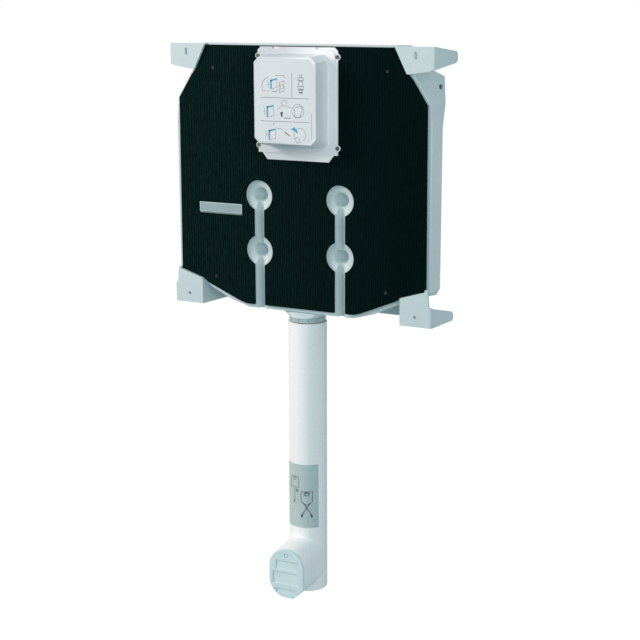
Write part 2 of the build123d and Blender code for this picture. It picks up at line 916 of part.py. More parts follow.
# Flush pipe, its insulation and the protective cap
def pipe_path(top, face):
    corner_y = pipe_y - bend_radius
    corner_z = outlet_z + bend_radius
    down = Line((0, pipe_y, top), (0, pipe_y, corner_z))
    start, end = (0, pipe_y, corner_z), (0, corner_y, outlet_z)
    half = bend_radius * (1 - math.sqrt(0.5))
    bend = ThreePointArc(start, (0, pipe_y - half, outlet_z + half), end)
    forward = Line(end, (0, face, outlet_z))
    return down + bend + forward


def pipe_solid(radius, top, face):
    section = Plane(origin=(0, pipe_y, top), z_dir=(0, 0, -1)) * Circle(radius)
    return sweep(section, path=pipe_path(top, face))


def flush_pipe():
    bore = pipe_solid(pipe_radius - pipe_wall, pipe_top + overrun, pipe_end - overrun)
    return pipe_solid(pipe_radius, pipe_top, pipe_end) - bore


def branch():
    face = stadium(shell_radius, branch_straight, outlet_face, branch_z)
    root_straight = branch_straight + branch_dome
    root = stadium(shell_radius, root_straight, pipe_y, branch_z + branch_dome / 2)
    return loft([face, root])


def insulation_shells():
    shell = rod_z(shell_radius, (base_z, shell_top), 0, pipe_y)
    base_edges = shell.edges().filter_by(GeomType.CIRCLE).group_by(Axis.Z)[0]
    shell = fillet(base_edges, shell_base_round) + branch()
    socket = cap_socket_bore + cap_socket_wall + shell_bore_gap
    socket_y = (outlet_face - overrun, outlet_face + cap_socket_length + loose_gap)
    shell -= rod_y(socket, socket_y, 0, outlet_z)
    return shell - pipe_solid(pipe_radius + shell_bore_gap, shell_top + overrun, outlet_face - overrun)


def half_space(front):
    reach = base_below_tank
    y = (pipe_y - reach, pipe_y) if front else (pipe_y, pipe_y + reach)
    return block((-reach, reach), y, (base_z - reach, tank_top))


def pipe_insulation_front():
    return insulation_shells() & half_space(True)


def pipe_insulation_back():
    return insulation_shells() & half_space(False)


def pipe_sticker():
    low = base_z + sticker_above_base
    z = (low, low + sticker_height)
    inner = shell_radius + running_gap
    ring = tube_z(inner + sticker_thickness, inner, z, 0, pipe_y)
    reach = shell_radius * 2
    angles = (sticker_start_angle, (sticker_start_angle + sticker_end_angle) / 2, sticker_end_angle)
    rim = [
        (reach * math.sin(math.radians(a)), pipe_y - reach * math.cos(math.radians(a)))
        for a in angles
    ]
    wedge = Pos(0, 0, z[0]) * extrude(outline([(0, pipe_y)] + rim), amount=sticker_height)
    return ring & wedge


def protective_cap():
    face = stadium(shell_radius, branch_straight, outlet_face, branch_z)
    front = outlet_face - cap_thickness
    low = branch_z - branch_straight / 2 - shell_radius + cap_flat
    lower_centre = branch_z - branch_straight / 2
    corner = [
        (0, lower_centre), (shell_radius, lower_centre), (shell_radius, low + cap_corner_height),
        (cap_corner_x, low), (0, low),
    ]
    cap = extrude(face, amount=cap_thickness) + plate(corner, (front, outlet_face))
    reach = (-shell_radius, shell_radius)
    cap -= block(reach, (front - overrun, outlet_face), (low - overrun, low))
    cap = fillet(cap.edges().group_by(Axis.Y)[0], cap_round)
    ring_y = (outlet_face, outlet_face + cap_socket_length)
    cap += rod_y(cap_socket_bore + cap_socket_wall, ring_y, 0, outlet_z)
    cap -= rod_y(cap_socket_bore, (outlet_face, outlet_face + cap_socket_length + overrun), 0, outlet_z)
    groove = (front - overrun, front + cap_row_depth)
    for row in cap_row_shares:
        left, right, low, high = [share * shell_radius for share in row]
        cap -= block((left, right), groove, (outlet_z + low, outlet_z + high))
    ring_z = outlet_z + cap_ring_z
    ring = rod_y(cap_ring_radius, groove, 0, ring_z)
    cap -= ring - rod_y(cap_ring_radius - cap_ring_width, groove, 0, ring_z)
    return cap - rod_y(cap_pip_radius, groove, cap_pip_x, outlet_z + cap_pip_z)


# Flush valve
def valve_seat_ring():
    flange_z = (floor_z + seat_gasket, basket_bottom)
    ring = rod_z(seat_flange_radius, flange_z, 0, valve_y)
    ring += rod_z(seat_bore + seat_neck_wall, (tank_bottom, basket_bottom), 0, valve_y)
    ring += rod_z(seat_bore + seat_lip_width, (basket_bottom, seat_lip_top), 0, valve_y)
    return ring - rod_z(seat_bore, (tank_bottom - overrun, seat_lip_top + overrun), 0, valve_y)


def seat_seal():
    inner = seat_bore + seat_neck_wall + seat_hole_gap
    return tube_z(seat_flange_radius, inner, (floor_z, floor_z + seat_gasket), 0, valve_y)


def valve_basket():
    basket = rod_z(basket_radius, (basket_bottom, basket_top), 0, valve_y)
    inner = basket_radius - basket_wall
    basket -= rod_z(inner, (basket_bottom - overrun, basket_top - basket_cap), 0, valve_y)
    low = basket_bottom + basket_base
    window_z = (low, low + basket_window_height)
    windows = rod_z(basket_radius + overrun, window_z, 0, valve_y)
    reach = basket_radius * 2
    for i in range(basket_legs // 2):
        turn = Pos(0, valve_y, 0) * Rot(0, 0, 45 + i * 180 / (basket_legs // 2))
        half_leg = (-basket_leg_width / 2, basket_leg_width / 2)
        windows -= turn * block((-reach, reach), half_leg, window_z)
    basket -= windows
    hole_z = (basket_top - basket_cap - overrun, basket_top + overrun)
    basket -= rod_z(overflow_radius + running_gap, hole_z, 0, valve_y)
    return basket - rod_z(half_rod_radius + rod_hole_gap, hole_z, half_rod_offset, valve_y)


def overflow_tube():
    high = disc_bottom + overflow_height
    tube = rod_z(overflow_radius, (disc_bottom, high), 0, valve_y)
    tube += rod_z(lifter_disc_radius, (disc_bottom, disc_top), 0, valve_y)
    end = cylinder_x + arm_end_margin
    arm_y = (valve_y - arm_width / 2, valve_y + arm_width / 2)
    tube += block((-end, 0), arm_y, (arm_bottom, arm_bottom + arm_height))
    inner = overflow_radius - overflow_wall
    return tube - rod_z(inner, (disc_bottom - overrun, high + overrun), 0, valve_y)


def main_seal():
    inner = overflow_radius - overflow_wall
    return tube_z(main_seal_radius, inner, (seat_lip_top, disc_bottom), 0, valve_y)


def full_flush_float():
    z = (full_float_bottom, full_float_bottom + full_float_height)
    return tube_z(full_float_radius, overflow_radius + running_gap, z, 0, valve_y)


def half_flush_float():
    z = (half_float_bottom, half_float_top)
    part = tube_z(full_float_radius, overflow_radius + running_gap, z, 0, valve_y)
    rod_z_span = (half_float_top - overflow_wall, arm_bottom + arm_height)
    part += rod_z(half_rod_radius, rod_z_span, half_rod_offset, valve_y)
    start = half_rod_offset - half_rod_radius
    arm_x = (start, cylinder_x + arm_end_margin)
    arm_y = (valve_y - arm_width / 2, valve_y + arm_width / 2)
    return part + block(arm_x, arm_y, (arm_bottom, arm_bottom + arm_height))


def actuator_bracket():
    half = cylinder_x + cylinder_radius + actuator_plate_margin
    y = (valve_y - actuator_plate_depth / 2, valve_y + actuator_plate_depth / 2)
    plate_z = (basket_top, cylinder_bottom)
    base = block((-half, half), y, plate_z)
    hole_z = (basket_top - overrun, cylinder_bottom + overrun)
    base -= rod_z(overflow_radius + rod_hole_gap, hole_z, 0, valve_y)
    return base - rod_z(half_rod_radius + rod_hole_gap, hole_z, half_rod_offset, valve_y)


def air_cylinder(side):
    x = side * cylinder_x
    shape = rod_z(cylinder_radius, (cylinder_bottom, cylinder_top), x, valve_y)
    inside = (cylinder_bottom + cylinder_floor, cylinder_top - cylinder_lid)
    shape -= rod_z(cylinder_radius - cylinder_wall, inside, x, valve_y)
    lid = (cylinder_top - cylinder_lid - overrun, cylinder_top + overrun)
    shape -= rod_z(plunger_rod_radius + running_gap, lid, x, valve_y)
    nipple = rod_z(nipple_radius, (cylinder_top - overrun / 2, nipple_top), side * nipple_x, valve_y)
    bore_z = (cylinder_top - cylinder_lid - overrun, nipple_top + overrun)
    return shape + nipple - rod_z(nipple_radius / 2, bore_z, side * nipple_x, valve_y)


def air_plunger(side):
    x = side * cylinder_x
    low = cylinder_bottom + cylinder_floor + loose_gap
    disc = cylinder_radius - cylinder_wall - loose_gap
    shape = rod_z(disc, (low, low + plunger_disc), x, valve_y)
    return shape + rod_z(plunger_rod_radius, (low, plunger_top), x, valve_y)


def air_hose(side):
    low = cylinder_top + running_gap
    straight = (tab_top - low) * air_hose_straight_share
    x, end_x = side * nipple_x, side * coupling_x
    points = [
        (x, valve_y, low), (x, valve_y, low + straight),
        (end_x, coupling_y, tab_top - straight), (end_x, coupling_y, tab_top),
    ]
    path = FilletPolyline(*points, radius=straight)
    section = Pos(x, valve_y, low)
    outer = sweep(section * Circle(air_hose_radius), path=path)
    return outer - sweep(section * Circle(air_hose_radius - air_hose_wall), path=path)


def air_couplings():
    high = tab_top + coupling_height
    one = tube_z(coupling_radius, nipple_radius, (tab_top, high), coupling_x, coupling_y)
    flange = (tab_top, tab_top + coupling_flange)
    one += tube_z(coupling_flange_radius, nipple_radius, flange, coupling_x, coupling_y)
    return both_sides(one)


# Water inlet, stop valve and hose
def inlet_washer_ring():
    x = (-inlet_pad_half - inlet_washer, -inlet_pad_half)
    return tube_x(hex_across / 2, inlet_shank_radius + seat_hole_gap, x, inlet_y, inlet_z)


def inlet_union():
    flange = -inlet_pad_half - inlet_washer
    mouth = flange - inlet_hex
    body = hex_x(hex_across, (mouth, flange), inlet_y, inlet_z)
    body += rod_x(inlet_shank_radius, (flange, flange + inlet_shank_length), inlet_y, inlet_z)
    body -= rod_x(inlet_bore_radius, (mouth - overrun, mouth + inlet_bore_length), inlet_y, inlet_z)
    through = (mouth, flange + inlet_shank_length + overrun)
    return body - rod_x(water_bore, through, inlet_y, inlet_z)


def inlet_locknut():
    x = (-inlet_pad_inner, -inlet_pad_inner + locknut_height)
    nut = hex_x(hex_across, x, inlet_y, inlet_z)
    cut = (x[0] - overrun, x[1] + overrun)
    return nut - rod_x(inlet_shank_radius + running_gap, cut, inlet_y, inlet_z)


def pipe_start():
    return -inlet_pad_half - inlet_washer + inlet_shank_length


def stop_valve_ends():
    return stop_valve_x - stop_valve_length / 2, stop_valve_x + stop_valve_length / 2


def inlet_pipe():
    start, end = pipe_start(), stop_valve_ends()[0]
    pipe = rod_x(water_tube_radius, (start, end), inlet_y, inlet_z)
    pipe += rod_x(collar_radius, (start, start + collar_thickness), inlet_y, inlet_z)
    pipe += rod_x(collar_radius, (end - collar_thickness, end), inlet_y, inlet_z)
    cut = (start - overrun, end + overrun)
    return pipe - rod_x(water_tube_radius - water_tube_wall, cut, inlet_y, inlet_z)


def union_nut(joint_x, toward_tube, y, z):
    """A nut that holds a tube's collar against a threaded end which meets it at joint_x."""
    lip = joint_x + toward_tube * (collar_thickness + running_gap)
    tube_end = lip + toward_tube * union_nut_lip
    thread_end = tube_end - toward_tube * union_nut_length
    nut = hex_x(hex_across, (min(tube_end, thread_end), max(tube_end, thread_end)), y, z)
    bore = thread_end - toward_tube * overrun
    nut -= rod_x(inlet_shank_radius + running_gap, (min(bore, lip), max(bore, lip)), y, z)
    past = tube_end + toward_tube * overrun
    return nut - rod_x(water_tube_radius + running_gap, (min(bore, past), max(bore, past)), y, z)


def union_nuts():
    low, high = stop_valve_ends()
    nuts = [
        union_nut(pipe_start(), 1, inlet_y, inlet_z), union_nut(low, -1, inlet_y, inlet_z),
        union_nut(high, 1, inlet_y, inlet_z),
        union_nut(fill_x - fill_inlet_reach, -1, fill_y, fill_inlet_z),
    ]
    return Compound(children=nuts)


def stop_valve_body():
    low, high = stop_valve_ends()
    body = rod_x(inlet_shank_radius, (low, high), inlet_y, inlet_z)
    front = inlet_y - stop_boss_length
    body += rod_y(stop_boss_radius, (front, inlet_y), stop_valve_x, inlet_z)
    body -= rod_x(water_bore, (low - overrun, high + overrun), inlet_y, inlet_z)
    bore = (front - overrun, front + spindle_bite + loose_gap)
    return body - rod_y(spindle_radius + running_gap, bore, stop_valve_x, inlet_z)


def stop_valve_knob():
    front = inlet_y - stop_boss_length
    stem = (front - spindle_stem, front + spindle_bite)
    knob_y = (stem[0] - knob_thickness, stem[0])
    knob = rod_y(knob_radius, knob_y, stop_valve_x, inlet_z)
    cut = (knob_y[0] - overrun, knob_y[1] + overrun)
    for i in range(knob_grips):
        angle = math.radians(i * 360 / knob_grips)
        x = stop_valve_x + knob_radius * math.cos(angle)
        z = inlet_z + knob_radius * math.sin(angle)
        knob -= rod_y(knob_grip_radius, cut, x, z)
    return knob + rod_y(spindle_radius, stem, stop_valve_x, inlet_z)


def supply_hose():
    start, end = stop_valve_ends()[1], fill_x - fill_inlet_reach
    points = [
        (start, inlet_y, inlet_z), (start + hose_straight, inlet_y, inlet_z),
        (end - hose_straight, fill_y, fill_inlet_z), (end, fill_y, fill_inlet_z),
    ]
    path = FilletPolyline(*points, radius=hose_bend_radius)
    section = Plane(origin=points[0], z_dir=(1, 0, 0))
    hose = sweep(section * Circle(water_tube_radius), path=path)
    hose += rod_x(collar_radius, (start, start + collar_thickness), inlet_y, inlet_z)
    hose += rod_x(collar_radius, (end - collar_thickness, end), fill_y, fill_inlet_z)
    return hose - sweep(section * Circle(water_tube_radius - water_tube_wall), path=path)


# Fill valve
def fill_valve_body():
    body = rod_z(fill_column_radius, (fill_column_bottom, head_bottom), fill_x, fill_y)
    body += rod_z(fill_head_radius, (head_bottom, head_top), fill_x, fill_y)
    reach = (fill_x - fill_inlet_reach, fill_x)
    body += rod_x(inlet_shank_radius, reach, fill_y, fill_inlet_z)
    stop = (fill_column_bottom, fill_column_bottom + fill_stop_height)
    body += rod_z(fill_stop_radius, stop, fill_x, fill_y)
    spigot = (fill_column_bottom - silencer_overlap, fill_column_bottom)
    body += rod_z(silencer_spigot_radius, spigot, fill_x, fill_y)
    body -= rod_x(fill_bore, (reach[0] - overrun, fill_x), fill_y, fill_inlet_z)
    body -= rod_z(fill_bore, (spigot[0] - overrun, head_top), fill_x, fill_y)
    recess = (head_top - diaphragm_thickness, head_top + overrun)
    return body - rod_z(diaphragm_radius + running_gap, recess, fill_x, fill_y)


def diaphragm():
    z = (head_top - diaphragm_thickness, head_top)
    return rod_z(diaphragm_radius, z, fill_x, fill_y)


def silencer_tube():
    z = (fill_column_bottom - silencer_length, fill_column_bottom)
    return tube_z(silencer_radius, silencer_spigot_radius + running_gap, z, fill_x, fill_y)


def fill_valve_cap():
    top = head_top + fill_cap_height
    cap = rod_z(fill_head_radius, (head_top, top), fill_x, fill_y)
    high = pivot_z + lever_boss_radius
    ear_low = lever_width / 2 + loose_gap
    for side in (-1, 1):
        ends = sorted((fill_y + side * ear_low, fill_y + side * (ear_low + lever_ear)))
        ear_x_span = (pivot_x - lever_boss_radius, pivot_x + lever_boss_radius)
        cap += block(ear_x_span, ends, (top - lever_ear, high))
    pin_y = (fill_y - fill_head_radius, fill_y + fill_head_radius)
    return cap - rod_y(lever_pin_radius + running_gap, pin_y, pivot_x, pivot_z)


def lever_pin():
    half = lever_width / 2 + loose_gap + lever_ear
    return rod_y(lever_pin_radius, (fill_y - half, fill_y + half), pivot_x, pivot_z)


def float_lever():
    y = (fill_y - lever_width / 2, fill_y + lever_width / 2)
    end = float_rod_x + lever_slot_length / 2 + lever_end_margin
    half = lever_thickness / 2
    lever = block((pivot_x, end), y, (pivot_z - half, pivot_z + half))
    lever += rod_y(lever_boss_radius, y, pivot_x, pivot_z)
    slot_half = lever_slot_length / 2
    eye = slot_half + lever_end_margin
    wide = lever_slot_width / 2 + lever_end_margin
    wide_y = (fill_y - wide, fill_y + wide)
    lever += block((float_rod_x - eye, end), wide_y, (pivot_z - half, pivot_z + half))
    cut_z = (pivot_z - lever_thickness, pivot_z + lever_thickness)
    slot_y = (fill_y - lever_slot_width / 2, fill_y + lever_slot_width / 2)
    lever -= block((float_rod_x - slot_half, float_rod_x + slot_half), slot_y, cut_z)
    pin_y = (y[0] - overrun, y[1] + overrun)
    return lever - rod_y(lever_pin_radius + running_gap, pin_y, pivot_x, pivot_z)


def float_cup():
    half_x, half_y = float_length / 2, float_depth / 2
    face = RectangleRounded(float_length, float_depth, float_corner)
    cup = Pos(fill_x, fill_y, float_bottom) * extrude(face, amount=float_height)
    lug_x = (fill_x + half_x - float_corner, float_rod_x + float_lug_width / 2)
    lug_y = (fill_y - float_lug_width / 2, fill_y + float_lug_width / 2)
    cup += block(lug_x, lug_y, (float_top - float_lug_height, float_top))
    reach = lever_thickness / 2 + float_collar_play
    rod_top = pivot_z + reach + float_collar_height
    cup += rod_z(float_rod_radius, (float_top - float_lug_height, rod_top), float_rod_x, fill_y)
    for low in (pivot_z - reach - float_collar_height, pivot_z + reach):
        cup += rod_z(float_collar_radius, (low, low + float_collar_height), float_rod_x, fill_y)
    bore = (float_bottom - overrun, float_top + overrun)
    return cup - rod_z(fill_column_radius + running_gap, bore, fill_x, fill_y)


def fill_valve_bracket():
    low = fill_bracket_z - fill_bracket_height / 2
    z = (low, low + fill_bracket_height)
    half = fill_bracket_width / 2
    back = (-wall - fill_bracket_plate, -wall)
    bracket = block((fill_x - half, fill_x + half), back, z)
    ring = fill_column_radius + running_gap
    neck_y = (fill_y, back[0])
    bracket += block((fill_x - ring, fill_x + ring), neck_y, z)
    bracket += rod_z(ring + fill_clip_wall, z, fill_x, fill_y)
    cut = (z[0] - overrun, z[1] + overrun)
    bracket -= rod_z(ring, cut, fill_x, fill_y)
    mouth = ring * math.sqrt(0.5)
    front = fill_y - ring - fill_clip_wall - overrun
    return bracket - block((fill_x - mouth, fill_x + mouth), (front, fill_y), cut)


nodes = {
    "tank_shell": tank_shell(),
    "tank_front_shell": tank_front_shell(),
    "insulation_panel": insulation_panel(),
    "panel_pins": panel_pins(),
    "opening_gasket": opening_gasket(),
    "shaft_frame": shaft_frame(),
    "inspection_cover": inspection_cover(),
    "cover_label": cover_label(),
    "cover_screws": cover_screws(),
    "outlet_lip_seal": lip_seal(),
    "outlet_nut": outlet_nut(),
    "flush_pipe": flush_pipe(),
    "pipe_insulation_front": pipe_insulation_front(),
    "pipe_insulation_back": pipe_insulation_back(),
    "pipe_sticker": pipe_sticker(),
    "protective_cap": protective_cap(),
    "valve_seat_ring": valve_seat_ring(),
    "valve_seat_gasket": seat_seal(),
    "valve_basket": valve_basket(),
    "overflow_tube": overflow_tube(),
    "main_seal": main_seal(),
    "full_flush_float": full_flush_float(),
    "half_flush_float": half_flush_float(),
    "actuator_bracket": actuator_bracket(),
    "full_flush_cylinder": air_cylinder(-1),
    "half_flush_cylinder": air_cylinder(1),
    "full_flush_plunger": air_plunger(-1),
    "half_flush_plunger": air_plunger(1),
    "full_flush_air_hose": air_hose(-1),
    "half_flush_air_hose": air_hose(1),
    "air_couplings": air_couplings(),
    "inlet_washer": inlet_washer_ring(),
    "inlet_union": inlet_union(),
    "inlet_locknut": inlet_locknut(),
    "inlet_pipe": inlet_pipe(),
    "union_nuts": union_nuts(),
    "stop_valve_body": stop_valve_body(),
    "stop_valve_knob": stop_valve_knob(),
    "supply_hose": supply_hose(),
    "fill_valve_bracket": fill_valve_bracket(),
    "fill_valve_body": fill_valve_body(),
    "fill_valve_diaphragm": diaphragm(),
    "fill_valve_cap": fill_valve_cap(),
    "silencer_tube": silencer_tube(),
    "lever_pin": lever_pin(),
    "float_lever": float_lever(),
    "fill_valve_float": float_cup(),
}

os.makedirs("parts", exist_ok=True)
for name, shape in nodes.items():
    export_step(shape, f"parts/{name}.step")
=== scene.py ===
import json
import math

import bmesh
import bpy
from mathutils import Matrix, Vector


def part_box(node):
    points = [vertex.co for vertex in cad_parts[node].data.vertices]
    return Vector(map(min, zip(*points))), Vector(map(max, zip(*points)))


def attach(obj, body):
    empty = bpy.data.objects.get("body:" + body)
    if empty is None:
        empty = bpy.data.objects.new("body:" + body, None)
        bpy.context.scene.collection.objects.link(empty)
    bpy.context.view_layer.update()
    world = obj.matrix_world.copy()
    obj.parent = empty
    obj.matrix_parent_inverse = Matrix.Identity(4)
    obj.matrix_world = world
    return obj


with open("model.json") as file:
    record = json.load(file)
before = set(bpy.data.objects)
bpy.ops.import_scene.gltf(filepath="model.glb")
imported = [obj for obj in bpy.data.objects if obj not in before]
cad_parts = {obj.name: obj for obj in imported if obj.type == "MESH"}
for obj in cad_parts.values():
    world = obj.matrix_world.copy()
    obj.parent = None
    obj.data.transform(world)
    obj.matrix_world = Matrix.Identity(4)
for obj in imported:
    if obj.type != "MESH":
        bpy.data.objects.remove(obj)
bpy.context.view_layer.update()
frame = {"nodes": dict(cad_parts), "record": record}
nodes = frame["nodes"]
MM = 0.001

# Places on the solids, in metres
label_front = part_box("cover_label")[0].y
film_low, film_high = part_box("pipe_sticker")
pipe_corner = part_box("pipe_insulation_front")[1]
pipe_axis_y = pipe_corner.y
pipe_radius = pipe_corner.x
bar_front = -0.0808

# Seams in the pipe's shells: level ones in metres, upright ones in radians round the pipe
level_seams = (-0.288, -0.482)
upright_seam_turn = 0.30
upright_seam_spacing = 0.43


# Materials
class Recipe:
    """A material: a Principled shader, and short calls that feed it with nodes."""

    def __init__(self, name, colour, roughness, **inputs):
        self.material = bpy.data.materials.new(name)
        self.material.use_nodes = True
        self.tree = self.material.node_tree
        self.shader = self.tree.nodes["Principled BSDF"]
        self.shader.inputs["Base Color"].default_value = (*colour, 1)
        self.shader.inputs["Roughness"].default_value = roughness
        for key, value in inputs.items():
            self.shader.inputs[key.replace("_", " ")].default_value = value
        self.colour = colour
        self.coordinates = self.tree.nodes.new("ShaderNodeTexCoord").outputs["Object"]

    def link(self, source, target):
        self.tree.links.new(source, target)

    def node(self, kind, sockets, **settings):
        """A new node, each of whose sockets takes a number or another node's output."""
        made = self.tree.nodes.new(kind)
        for key, value in settings.items():
            setattr(made, key, value)
        for key, value in sockets.items():
            if isinstance(value, bpy.types.NodeSocket):
                self.link(value, made.inputs[key])
            else:
                made.inputs[key].default_value = value
        return made

    def stretched(self, scale):
        sockets = {"Vector": self.coordinates, "Scale": scale}
        return self.node("ShaderNodeMapping", sockets).outputs["Vector"]

    def noise(self, scale, detail, stretch=(1, 1, 1)):
        sockets = {"Vector": self.stretched(stretch), "Scale": scale, "Detail": detail}
        return self.node("ShaderNodeTexNoise", sockets).outputs["Fac"]

    def waves(self, direction, vector, **numbers):
        sockets = {key.replace("_", " "): value for key, value in numbers.items()}
        sockets["Vector"] = vector
        return self.node("ShaderNodeTexWave", sockets, bands_direction=direction).outputs["Fac"]

    def beads(self, scale):
        sockets = {"Vector": self.coordinates, "Scale": scale}
        return self.node("ShaderNodeTexVoronoi", sockets).outputs["Distance"]

    def ramp(self, value, start, full, low=0.0, high=1.0):
        """From low, where the value is at start, to high, where it is full."""
        sockets = {"Value": value, "From Min": start, "From Max": full, "To Min": low, "To Max": high}
        return self.node("ShaderNodeMapRange", sockets).outputs["Result"]

    def math(self, operation, *values):
        return self.node("ShaderNodeMath", dict(enumerate(values)), operation=operation).outputs[0]

    def axis(self, name):
        return self.node("ShaderNodeSeparateXYZ", {0: self.coordinates}).outputs[name]

    def blend(self, colour, value, start, full, amount=1.0):
        """Another colour: none of it where the value is at start, the amount where it is full."""
        target = self.shader.inputs["Base Color"]
        before = target.links[0].from_socket if target.is_linked else (*self.colour, 1)
        factor = self.ramp(value, start, full, high=amount)
        sockets = {"A": before, "B": (*colour, 1), "Factor": factor}
        mix = self.node("ShaderNodeMix", sockets, data_type="RGBA")
        self.link(mix.outputs["Result"], target)

    def rough(self, value, low, high):
        self.link(self.ramp(value, start=0, full=1, low=low, high=high), self.shader.inputs["Roughness"])

    def bump(self, height, strength, distance):
        target = self.shader.inputs["Normal"]
        sockets = {"Height": height, "Strength": strength, "Distance": distance}
        if target.is_linked:
            sockets["Normal"] = target.links[0].from_socket
        self.link(self.node("ShaderNodeBump", sockets).outputs["Normal"], target)


def tank_plastic():
    recipe = Recipe("tank_plastic", colour=(0.53, 0.635, 0.655), roughness=0.5)
    lighter, greyer = (0.575, 0.67, 0.69), (0.47, 0.575, 0.60)
    recipe.blend(lighter, recipe.noise(scale=9, detail=2), start=0.35, full=0.7)
    recipe.blend(greyer, recipe.noise(scale=160, detail=3), start=0.45, full=0.8, amount=0.35)
    recipe.rough(recipe.noise(scale=60, detail=3), low=0.42, high=0.6)
    recipe.bump(recipe.noise(scale=14, detail=2), strength=0.35, distance=0.0012)
    recipe.bump(recipe.noise(scale=420, detail=3), strength=0.25, distance=0.00025)
    return recipe.material


def panel_foam():
    """Dark foam with upright wavy ribs, and painted shade that darkens it towards +X, where the light
    falls off.
    """
    recipe = Recipe("panel_foam", colour=(0.0012, 0.0065, 0.0065), roughness=0.9, Specular_IOR_Level=0.015)
    rib_top, darker = (0.006, 0.0215, 0.021), (0.0006, 0.0045, 0.0045)
    bands = recipe.waves("X", recipe.coordinates, Scale=78, Distortion=3.4, Detail=2, Detail_Scale=1.2)
    patches = recipe.noise(scale=1, detail=2, stretch=(150, 150, 90))
    breaks = recipe.ramp(patches, start=0.3, full=0.65, low=0.35)
    ripple = recipe.math("MULTIPLY", bands, breaks)
    recipe.blend(rib_top, ripple, start=0.1, full=0.9)
    # Painted shade: the foam turns darker towards +X, standing in for the light's falloff.
    recipe.blend(darker, recipe.axis("X"), start=-0.12, full=0.16, amount=0.75)
    recipe.rough(ripple, low=0.8, high=0.95)
    recipe.bump(ripple, strength=0.6, distance=0.0007)
    recipe.bump(recipe.noise(scale=900, detail=2), strength=0.3, distance=0.0002)
    return recipe.material


def cover_plastic():
    """Glossy plastic, with painted light that makes it whiter towards +X, in place of light shining
    through the plastic.
    """
    recipe = Recipe("cover_plastic", colour=(0.58, 0.63, 0.67), roughness=0.33)
    painted_light, cloudy = (0.93, 0.94, 0.945), (0.70, 0.73, 0.76)
    # Painted light: the plastic turns whiter towards +X, in place of light shining through it.
    recipe.blend(painted_light, recipe.axis("X"), start=-0.02, full=0.053)
    recipe.blend(cloudy, recipe.noise(scale=18, detail=2), start=0.4, full=0.7, amount=0.3)
    recipe.rough(recipe.noise(scale=90, detail=3), low=0.26, high=0.42)
    recipe.bump(recipe.noise(scale=500, detail=2), strength=0.15, distance=0.00015)
    return recipe.material


def label_film():
    recipe = Recipe("label_film", colour=(0.69, 0.725, 0.76), roughness=0.3)
    recipe.blend((0.72, 0.745, 0.775), recipe.noise(scale=25, detail=2), start=0.4, full=0.7)
    recipe.rough(recipe.noise(scale=140, detail=2), low=0.25, high=0.36)
    recipe.bump(recipe.noise(scale=60, detail=2), strength=0.1, distance=0.0002)
    return recipe.material


def polystyrene():
    """White beads, with the joint of the half shells and the faint seams of their mould."""
    recipe = Recipe("polystyrene", colour=(0.91, 0.915, 0.92), roughness=0.7)
    bead_edge, greyer = (0.82, 0.865, 0.875), (0.84, 0.88, 0.885)
    joint_shade, seam_shade = (0.38, 0.50, 0.52), (0.55, 0.68, 0.70)
    bead = recipe.beads(scale=330)
    recipe.blend(bead_edge, bead, start=0.25, full=0.75, amount=0.35)
    recipe.blend(greyer, recipe.noise(scale=22, detail=3), start=0.5, full=0.8, amount=0.4)
    before_axis = recipe.math("SUBTRACT", pipe_axis_y, recipe.axis("Y"))
    joint = recipe.math("ABSOLUTE", before_axis)
    recipe.blend(joint_shade, joint, start=0.0007, full=0.0002, amount=0.55)
    angle = recipe.math("ARCTAN2", recipe.axis("X"), before_axis)
    turned = recipe.math("ADD", angle, upright_seam_turn)
    upright_seam = recipe.math("PINGPONG", turned, upright_seam_spacing)
    recipe.blend(seam_shade, upright_seam, start=0.02, full=0.004, amount=0.26)
    recipe.bump(upright_seam, strength=0.25, distance=0.0006)
    for height in level_seams:
        level_seam = recipe.math("ABSOLUTE", recipe.math("SUBTRACT", recipe.axis("Z"), height))
        recipe.blend(seam_shade, level_seam, start=0.0011, full=0.0003, amount=0.22)
    recipe.bump(bead, strength=0.3, distance=0.0004)
    recipe.rough(recipe.noise(scale=200, detail=2), low=0.6, high=0.8)
    return recipe.material


def sticker_film():
    recipe = Recipe("sticker_film", colour=(0.54, 0.685, 0.69), roughness=0.3, Alpha=0.42)
    recipe.blend((0.58, 0.71, 0.715), recipe.noise(scale=30, detail=2), start=0.4, full=0.7)
    recipe.rough(recipe.noise(scale=120, detail=2), low=0.24, high=0.38)
    return recipe.material


def cap_plastic():
    recipe = Recipe("cap_plastic", colour=(0.585, 0.735, 0.765), roughness=0.42)
    recipe.blend((0.63, 0.775, 0.80), recipe.noise(scale=60, detail=2), start=0.4, full=0.7)
    recipe.rough(recipe.noise(scale=200, detail=2), low=0.36, high=0.5)
    recipe.bump(recipe.noise(scale=260, detail=3), strength=0.35, distance=0.0003)
    return recipe.material


def plain_plastic(name, colour, roughness, grain=320, **inputs):
    recipe = Recipe(name, colour, roughness, **inputs)
    lighter = tuple(min(1, part * 1.12 + 0.01) for part in colour)
    recipe.blend(lighter, recipe.noise(scale=40, detail=2), start=0.4, full=0.7)
    recipe.rough(recipe.noise(scale=grain, detail=2), low=roughness - 0.07, high=roughness + 0.08)
    recipe.bump(recipe.noise(scale=grain, detail=2), strength=0.2, distance=0.0002)
    return recipe.material


def metal(name, colour, roughness):
    recipe = Recipe(name, colour, roughness, Metallic=1.0)
    darker = tuple(part * 0.8 for part in colour)
    recipe.blend(darker, recipe.noise(scale=220, detail=3), start=0.4, full=0.75)
    recipe.rough(recipe.noise(scale=300, detail=2), low=roughness - 0.08, high=roughness + 0.12)
    recipe.bump(recipe.noise(scale=700, detail=2), strength=0.15, distance=0.0001)
    return recipe.material


